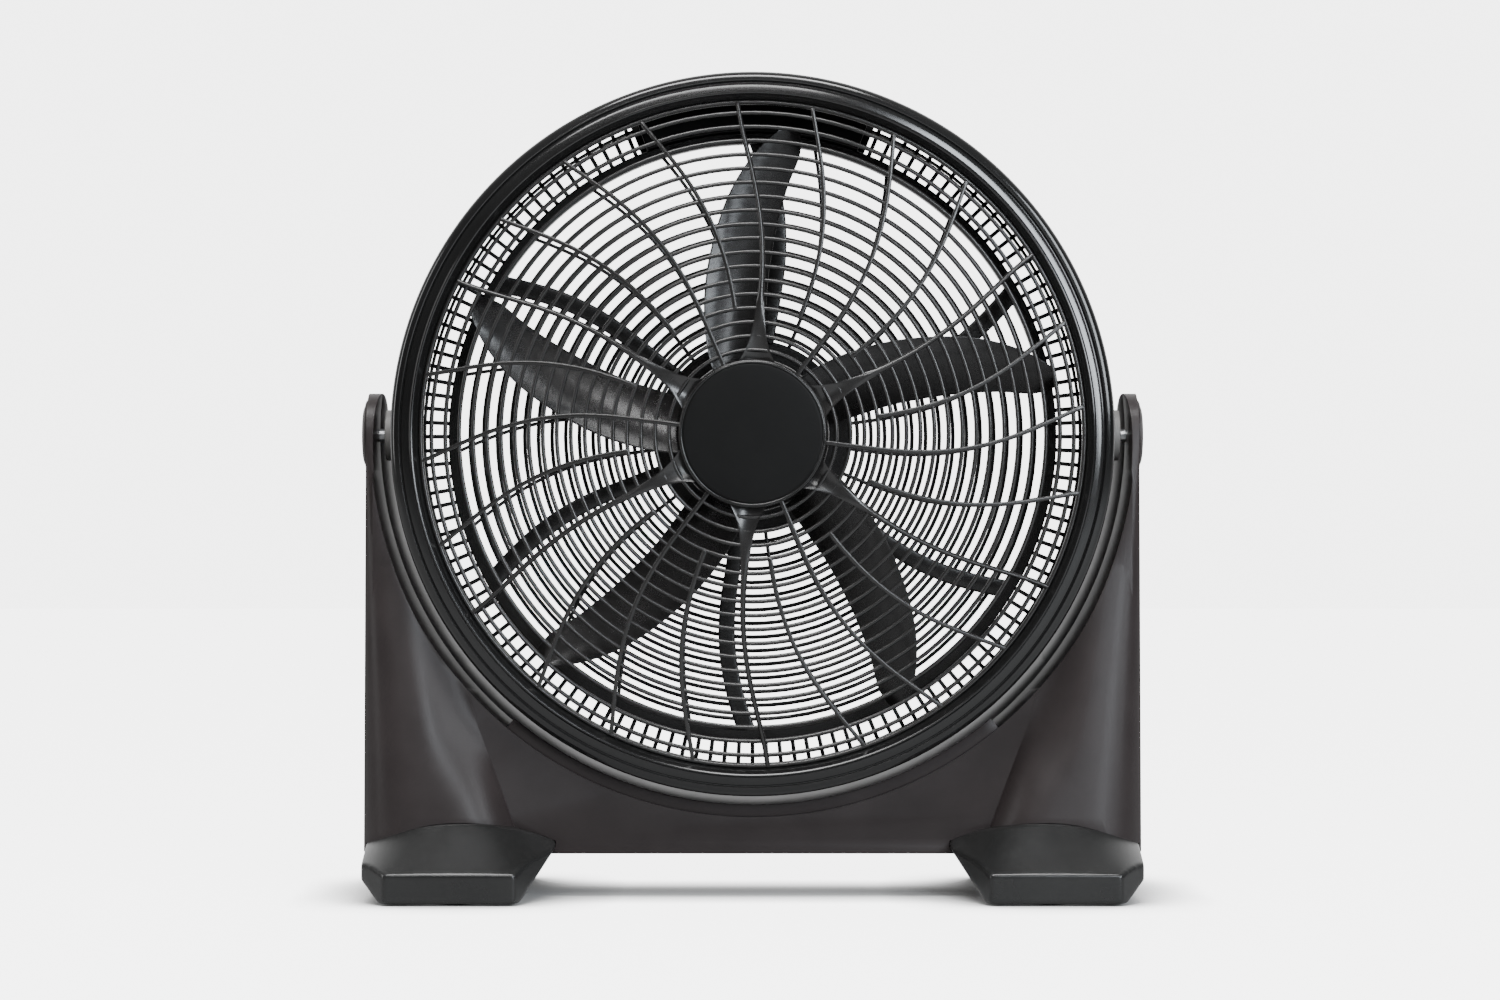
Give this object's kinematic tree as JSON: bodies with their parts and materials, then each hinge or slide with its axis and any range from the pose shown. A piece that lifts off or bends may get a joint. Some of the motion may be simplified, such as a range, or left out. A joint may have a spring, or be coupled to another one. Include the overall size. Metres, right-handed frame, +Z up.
{
  "type": "box fan",
  "caption": "Round drum fan that tilts between the uprights of a U-shaped floor stand, with a swirled guard, scythe-shaped blades, carry handle and rear speed knob.",
  "frame": {"origin": "on the floor under the middle of the stand, at the bottom centre of the whole fan's box", "axes": "+Z up, -Y is the front that the air leaves from, +X is on the right of a person facing the front"},
  "size_m": [0.6126, 0.23, 0.64],
  "materials": {
    "stand_plastic": "satin moulded, warm charcoal",
    "foot_plastic": "semi-gloss moulded, cool charcoal",
    "gloss_black": "polished black",
    "grille_black": "satin black",
    "matt_black": "fine-grained matt black",
    "blade_black": "polished black with slight waves",
    "rubber": "matt",
    "steel": "zinc plated",
    "cast_aluminium": "as cast",
    "laminations": "stacked laminations",
    "copper": "enamelled wire",
    "pale_nylon": "natural nylon"
  },
  "bodies": {
    "base": {"stand_front": "stand_plastic", "stand_rear": "stand_plastic", "foot_right": "foot_plastic", "foot_left": "foot_plastic", "foot_pad_front_right": "rubber", "foot_pad_front_left": "rubber", "foot_screw_front_right": "steel", "foot_screw_front_left": "steel", "foot_pad_rear_right": "rubber", "foot_pad_rear_left": "rubber", "foot_screw_rear_right": "steel", "foot_screw_rear_left": "steel", "stand_screw_outer_right": "steel", "stand_screw_outer_left": "steel", "stand_screw_inner_right": "steel", "stand_screw_inner_left": "steel", "pivot_bolt_right": "steel", "pivot_bolt_left": "steel", "pivot_nut_right": "steel", "pivot_nut_left": "steel", "friction_washer_right": "pale_nylon", "friction_washer_left": "pale_nylon", "pivot_cap_right": "stand_plastic", "pivot_cap_left": "stand_plastic"},
    "head": {"rim_bezel": "gloss_black", "front_grille": "grille_black", "hub_cap": "matt_black", "drum_shell": "matt_black", "rear_grille": "grille_black", "control_box": "matt_black", "control_cover": "matt_black", "carry_handle": "matt_black", "speed_switch": "pale_nylon", "cord_gland": "rubber", "wire_cover": "matt_black", "cover_screw_1": "steel", "cover_screw_2": "steel", "cover_screw_3": "steel", "cover_screw_4": "steel", "motor_front_bell": "cast_aluminium", "motor_rear_bell": "cast_aluminium", "stator_core": "laminations", "winding_front": "copper", "winding_rear": "copper", "bearing_front": "steel", "bearing_rear": "steel", "motor_bolt_1": "steel", "motor_bolt_2": "steel", "motor_bolt_3": "steel", "motor_bolt_4": "steel", "motor_cover": "matt_black", "capacitor": "pale_nylon"},
    "rotor": {"motor_shaft": "steel", "rotor_core": "laminations", "propeller": "blade_black", "blade_nut": "gloss_black", "drive_pin": "steel"},
    "knob": {"speed_knob": "gloss_black"}
  },
  "joints": [
    {"name": "head_tilt", "type": "hinge", "parent": "base", "child": "head", "pos_m": [0, 0, 0.36], "axis": [-1, 0, 0], "range_deg": [-20, 90]},
    {"name": "blade_spin", "type": "hinge", "parent": "head", "child": "rotor", "pos_m": [0, 0, 0.36], "axis": [0, 1, 0], "continuous": true},
    {"name": "speed_knob_turn", "type": "hinge", "parent": "head", "child": "knob", "pos_m": [0.0696, 0.08, 0.60584], "axis": [0, 1, 0], "range_deg": [0, 135]}
  ]
}
